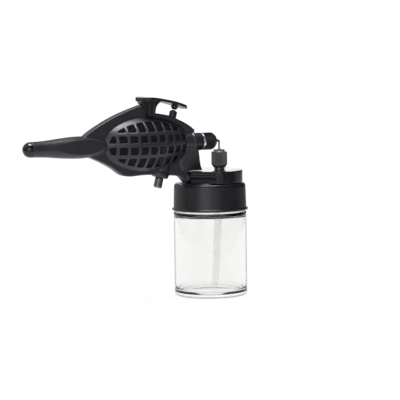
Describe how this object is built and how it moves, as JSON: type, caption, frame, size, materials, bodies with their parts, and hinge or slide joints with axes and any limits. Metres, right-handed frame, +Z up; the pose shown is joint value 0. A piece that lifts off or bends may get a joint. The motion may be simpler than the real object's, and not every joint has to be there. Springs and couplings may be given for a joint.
{
  "type": "airbrush gun",
  "caption": "Black plastic external-mix airbrush with a thumb lever on top and a slim tail grip, standing on its clear siphon jar.",
  "frame": {"origin": "centre of the jar's flat base", "axes": "+Z up along the jar's axis, +X along the barrel in the spray direction, Y = 0 is the gun's parting plane"},
  "size_m": [0.1422, 0.0442, 0.117],
  "materials": {
    "clear_glass": "clear",
    "black_cap": "satin moulded plastic",
    "black_body": "satin moulded plastic, fine texture",
    "grey_grille": "satin moulded plastic",
    "gloss_tail": "polished plastic",
    "seal_rubber": "soft",
    "clear_tube": "translucent polyethylene",
    "chrome_fitting": "polished chrome",
    "brass_valve": "machined",
    "steel": "brushed",
    "dark_nut": "dark grey knurled",
    "silver_ring": "bright turned"
  },
  "bodies": {
    "jar": {"jar_glass": "clear_glass"},
    "lid": {"lid_adapter": "black_cap", "cap_gasket": "seal_rubber", "fluid_stud": "steel", "siphon_nipple": "steel", "siphon_tube": "clear_tube"},
    "cap": {"cap_ring": "black_cap"},
    "tip": {"paint_tip": "steel", "tip_washer": "silver_ring"},
    "nut": {"knurled_nut": "dark_nut"},
    "gun": {"shell_right": "black_body", "shell_left": "black_body", "grille_right": "grey_grille", "grille_left": "grey_grille", "shell_screws": "steel", "tail_plug": "gloss_tail", "valve_body": "brass_valve", "inlet_fitting": "chrome_fitting", "valve_spring": "steel", "stem_packing": "seal_rubber", "gland_nut": "brass_valve", "air_tube": "brass_valve", "barrel": "brass_valve", "barrel_collar": "black_body", "air_nozzle": "black_body", "trigger_pin": "steel"},
    "valve": {"valve_stem": "steel", "valve_seal": "seal_rubber", "plunger_cap": "black_body"},
    "trigger": {"trigger_lever": "black_body"},
    "nose_ring": {"lock_ring": "silver_ring"},
    "nose": {"air_cap": "black_body"}
  },
  "joints": [
    {"name": "lid_lift", "type": "slide", "parent": "jar", "child": "lid", "axis": [0, 0, 1], "range_m": [0, 0.0036]},
    {"name": "cap_turn", "type": "hinge", "parent": "lid", "child": "cap", "pos_m": [0, 0, 0.06], "axis": [0, 0, 1], "range_deg": [0, 452]},
    {"name": "tip_lift", "type": "slide", "parent": "lid", "child": "tip", "axis": [0, 0, 1], "range_m": [0, 0.002]},
    {"name": "nut_turn", "type": "hinge", "parent": "tip", "child": "nut", "pos_m": [0.0067, 0, 0.079], "axis": [0, 0, 1], "range_deg": [0, 904]},
    {"name": "gun_release", "type": "slide", "parent": "lid", "child": "gun", "axis": [-1, 0, 0], "range_m": [0, 0.012]},
    {"name": "valve_press", "type": "slide", "parent": "gun", "child": "valve", "axis": [-0.2538, 0, -0.9673], "range_m": [0, 0.00205], "stiffness_N_per_m": 900, "springref_m": -0.002, "deforming": ["valve_spring"]},
    {"name": "trigger_press", "type": "hinge", "parent": "gun", "child": "trigger", "pos_m": [-0.0399, 0, 0.1085], "axis": [0, 1, 0], "range_deg": [0, 8.1]},
    {"name": "nose_advance", "type": "slide", "parent": "gun", "child": "nose_ring", "axis": [1, 0, 0], "range_m": [0, 0.0016]},
    {"name": "nose_turn", "type": "hinge", "parent": "nose_ring", "child": "nose", "pos_m": [0, 0, 0.09], "axis": [1, 0, 0], "range_deg": [0, 724]}
  ],
  "couplings": [
    {"joint": "cap_turn", "follows": "lid_lift", "rad_per_m": 2181.7},
    {"joint": "nut_turn", "follows": "tip_lift", "rad_per_m": 7854},
    {"joint": "nose_turn", "follows": "nose_advance", "rad_per_m": 7854},
    {"joint": "trigger_press", "follows": "valve_press", "rad_per_m": 68.11}
  ]
}
